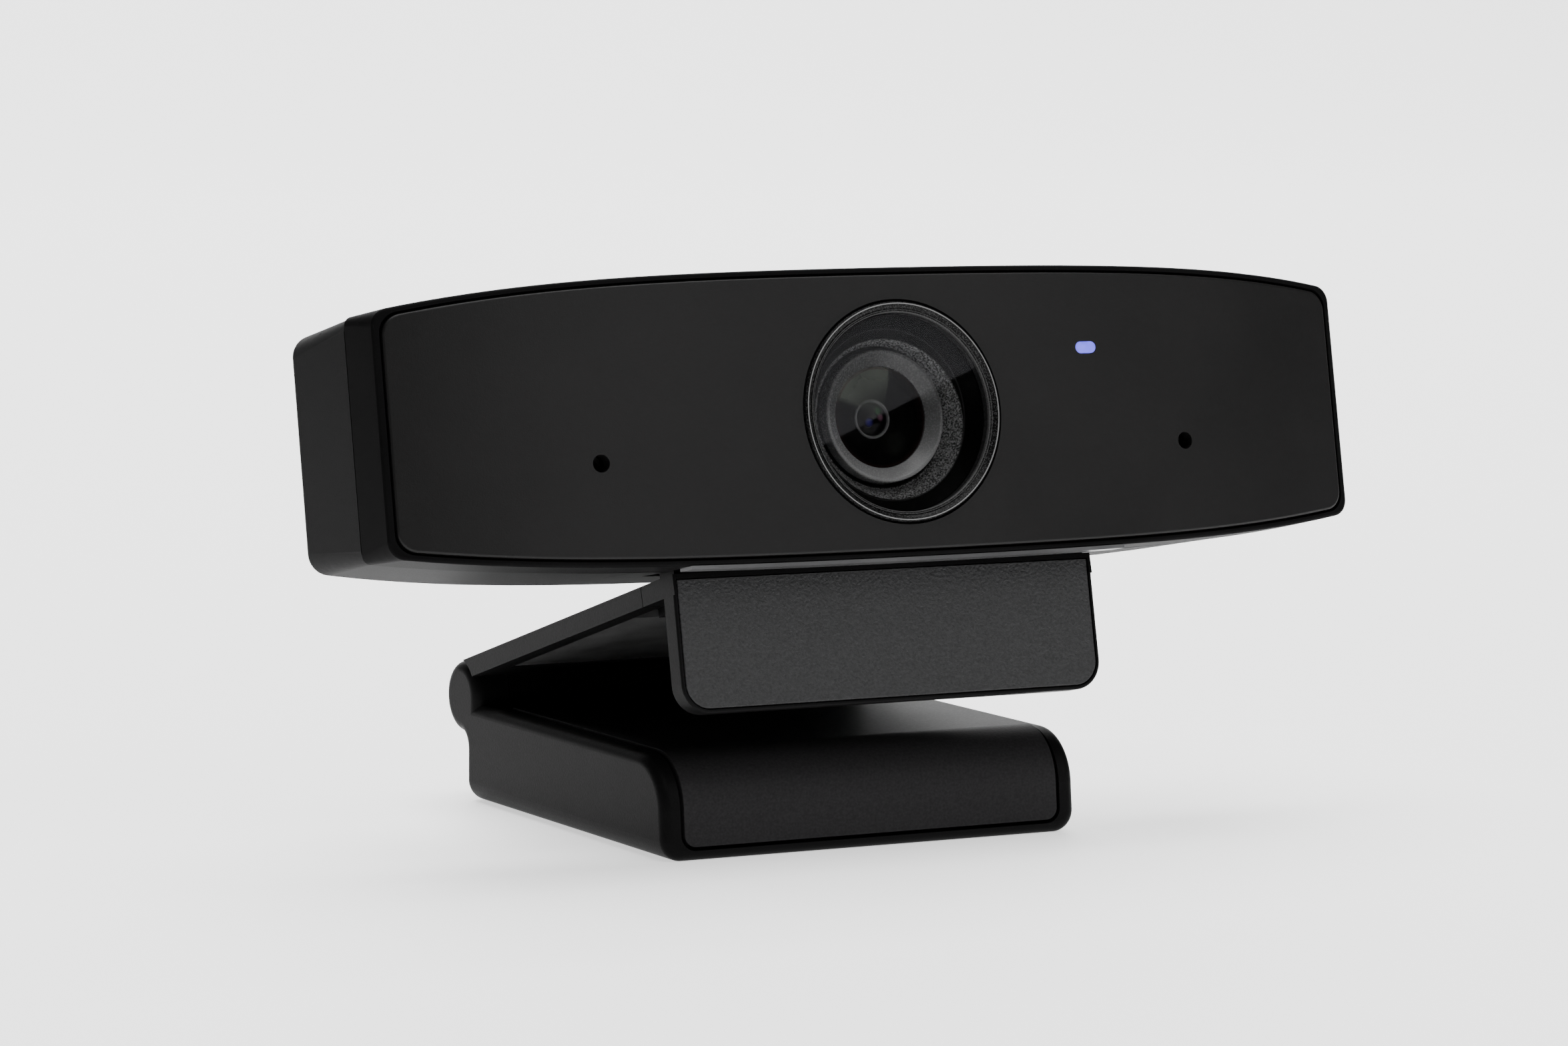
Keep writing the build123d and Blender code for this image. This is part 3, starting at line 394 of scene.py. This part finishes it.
def dome_material():
    """Front element: nearly black, with a painted reflection of a pale greenish fan and a faint
    spot, and a reddish rim.
    """
    m = Nodes("front_glass")
    smear = m.noise(GLASS_SMEAR, detail=3.0, rough=0.5)
    # Painted reflection: a pale greenish fan and a faint round spot.
    bearing = m.math("ARCTAN2", *m.from_point(FAN_APEX))
    wedge = m.times(m.span(bearing, 0.0, 1.0, *FAN_LEFT), m.span(bearing, 1.0, 0.0, *FAN_RIGHT))
    fan_reflection = m.times(wedge, m.rise(m.radius(), FAN_REACH, FAN_FAINTEST, 1.0))
    spot_reflection = m.rise(m.radius(SPOT_MIDDLE), SPOT_FADE, SPOT_REFLECTION_STRENGTH, 0.0)
    painted_reflection = m.times(m.add(fan_reflection, spot_reflection), m.span(smear, 0.8, 1.0))
    black, red = (0.0015, 0.0012, 0.0014), (0.12, 0.05, 0.045)
    m.put(Base_Color=m.mix(m.circle(*DOME_RIM), m.mix(painted_reflection, black, FAN_REFLECTION_COLOUR), red),
          Alpha=m.span(painted_reflection, 0.3, 0.75, 0.0, 1.0), Roughness=m.span(smear, 0.03, 0.06),
          Specular_IOR_Level=0.0)
    return m.mat


def eye_material():
    """Small inner element: black, with the coloured glints of its coating painted on as
    reflections.
    """
    m = Nodes("eye_glass")
    film = m.noise(GLASS_FILM, detail=2.0, rough=0.5)
    colour = (0.004, 0.003, 0.006)
    # Painted reflections: coloured glints laid over the black.
    for middle, fade, strength, tint in PAINTED_GLINTS:
        colour = m.mix(m.rise(m.radius(middle), fade, strength, 0.0), colour, tint)
    m.put(Base_Color=colour, Roughness=m.span(film, 0.05, 0.12), Coat_Weight=0.6)
    return m.mat


def lamp_material():
    """Lit violet light pipe."""
    m = Nodes("lamp_violet")
    cloud = m.noise(GLASS_FILM, detail=2.0, rough=0.5)
    glow = m.ramp(cloud, [(0.3, (0.1, 0.09, 0.75)), (0.7, (0.16, 0.15, 0.95))])
    m.put(Base_Color=glow, Emission_Color=glow, Emission_Strength=0.55,
          Roughness=m.span(cloud, 0.25, 0.4))
    return m.mat


def window_material():
    """Cover glass: mostly clear, with a pale painted reflection over its upper left side."""
    m = Nodes("window_glass")
    smudge = m.noise(WINDOW_SMUDGE, detail=4.0, rough=0.6)
    x, z = m.lens_frame()
    # Painted reflection: a pale wash above a line that rises to the right.
    above = m.math("SUBTRACT", z, m.times(x, WINDOW_PAINTED_REFLECTION_SLOPE))
    painted_reflection = m.times(m.rise(above, WINDOW_PAINTED_REFLECTION), m.span(smudge, 0.9, 1.05))
    black, pale = (0.001, 0.001, 0.001), (0.033, 0.033, 0.0345)
    m.put(Base_Color=m.mix(painted_reflection, black, pale),
          Roughness=m.span(smudge, 0.05, 0.1), Alpha=0.3, Specular_IOR_Level=0.0)
    return m.mat


def paint():
    """Give every node the look of its material slot, or its own look where it has one."""
    slots = {name: plastic(name, *row) for name, row in PLASTICS.items()}
    slots.update((name, metal(name, *row)) for name, row in METALS.items())
    slots.update(ring_grey=ring_material(), shroud_grey=shroud_material(),
                 lens_glass=dome_material(), filter_glass=filter_material(),
                 lamp_violet=lamp_material(), window_glass=window_material())
    own = {"inner_lens": eye_material(), "barrel_ring": bevel_material(),
           "aperture_plate": slots["stop_black"], "aperture_ring": slots["eye_ring"]}
    for part in frame["record"]["subparts"]:
        look = own.get(part["node"]) or slots[part["material_slot"]]
        materials = NODES[part["node"]].data.materials
        for index in range(len(materials)):
            materials[index] = look


# ---------------------------------------------------------------- stage, light, camera
def place_object(name, data, place, axes):
    """Put a light or camera in the scene, looking along minus the last of its three axes."""
    thing = bpy.data.objects.new(name, data)
    thing.matrix_world = Matrix.Translation(place) @ Matrix(axes).transposed().to_4x4()
    bpy.context.scene.collection.objects.link(thing)
    return thing


def stage_floor():
    """Pale floor that sweeps up behind the object."""
    bend = FLOOR_BACK - FLOOR_SWEEP
    angles = (math.pi / 2 * i / FLOOR_STEPS for i in range(1, FLOOR_STEPS + 1))
    sweep = [(bend + FLOOR_SWEEP * math.sin(a), FLOOR_SWEEP - FLOOR_SWEEP * math.cos(a))
             for a in angles]
    profile = [(-FLOOR_REACH, 0.0), (bend, 0.0), *sweep, (FLOOR_BACK, FLOOR_TOP)]
    verts = [(x, y, z) for y, z in profile for x in (-FLOOR_REACH, FLOOR_REACH)]
    faces = [(2 * i, 2 * i + 1, 2 * i + 3, 2 * i + 2) for i in range(len(profile) - 1)]
    mesh = bpy.data.meshes.new("floor")
    mesh.from_pydata(verts, [], faces)
    mesh.polygons.foreach_set("use_smooth", [True] * len(faces))
    floor = bpy.data.objects.new("floor", mesh)
    bpy.context.scene.collection.objects.link(floor)
    m = Nodes("floor_white")
    x, _, _ = m.split(m.coord)
    pale = m.ramp(m.noise(FLOOR_CLOUD), list(enumerate(FLOOR_PALE)))
    m.put(Base_Color=m.mix(m.span(x, 1.0, 0.0, FLOOR_DARK_X, FLOOR_PALE_X), pale, FLOOR_DARK),
          Roughness=0.6, Emission_Color=(1, 1, 1, 1),
          Emission_Strength=m.span(x, 0.0, FLOOR_GLOW, FLOOR_DARK_X, FLOOR_GLOW_X))
    mesh.materials.append(m.mat)


def camera_axes():
    """The camera's place, and its forward, right and up directions."""
    place = Vector(CAMERA_PLACE)
    forward = (Vector(CAMERA_AIM) - place).normalized()
    right = forward.cross(Vector(CAMERA_UP)).normalized()
    return place, forward, right, right.cross(forward)


def camera():
    data = bpy.data.cameras.new("camera")
    data.sensor_width = CAMERA_SENSOR
    data.lens = CAMERA_LENS
    data.clip_start, data.clip_end = CAMERA_CLIP
    place, forward, right, up = camera_axes()
    bpy.context.scene.camera = place_object("camera", data, place, (right, up, -forward))


def area_light(name, place, axes, size, power):
    data = bpy.data.lights.new(name, "AREA")
    data.shape = "RECTANGLE"
    data.size, data.size_y = size
    data.energy = power
    place_object(name, data, place, axes)


def key_light():
    """Large soft light whose lower edge the lens window mirrors to the camera."""
    normal = Vector((0, -math.cos(HEAD_TILT), math.sin(HEAD_TILT)))
    middle = Vector((0, -BOX_MID_Y, HEAD_Z + KEY_RISE))
    place, _, right, up = camera_axes()

    def mirrored(v):
        return v - 2 * v.dot(normal) * normal

    ray = mirrored((middle - place).normalized())
    across, rise = mirrored(right), mirrored(up)
    along = (across * math.cos(KEY_SLOPE) + rise * math.sin(KEY_SLOPE)).normalized()
    lit_side = along.cross(ray).normalized()
    if lit_side.dot(rise) < 0:
        lit_side = -lit_side
    centre = middle + ray * KEY_DISTANCE + lit_side * KEY_SIZE[1] / 2
    away = along.cross(lit_side)
    if away.dot(ray) < 0:
        along, away = -along, -away
    area_light("key", centre, (along, lit_side, away), KEY_SIZE, KEY_POWER)


def aimed_light(name, place, aim, size, power):
    turn = (Vector(aim) - Vector(place)).to_track_quat("-Z", "Y").to_matrix()
    area_light(name, Vector(place), turn.transposed(), size, power)


def dim_world():
    world = bpy.data.worlds.new("world")
    world.use_nodes = True
    background = world.node_tree.nodes["Background"]
    background.inputs["Color"].default_value = WORLD_COLOUR
    background.inputs["Strength"].default_value = WORLD_STRENGTH
    bpy.context.scene.world = world


paint()
stage_floor()
camera()
key_light()
for light, row in LIGHTS.items():
    aimed_light(light, *row)
dim_world()
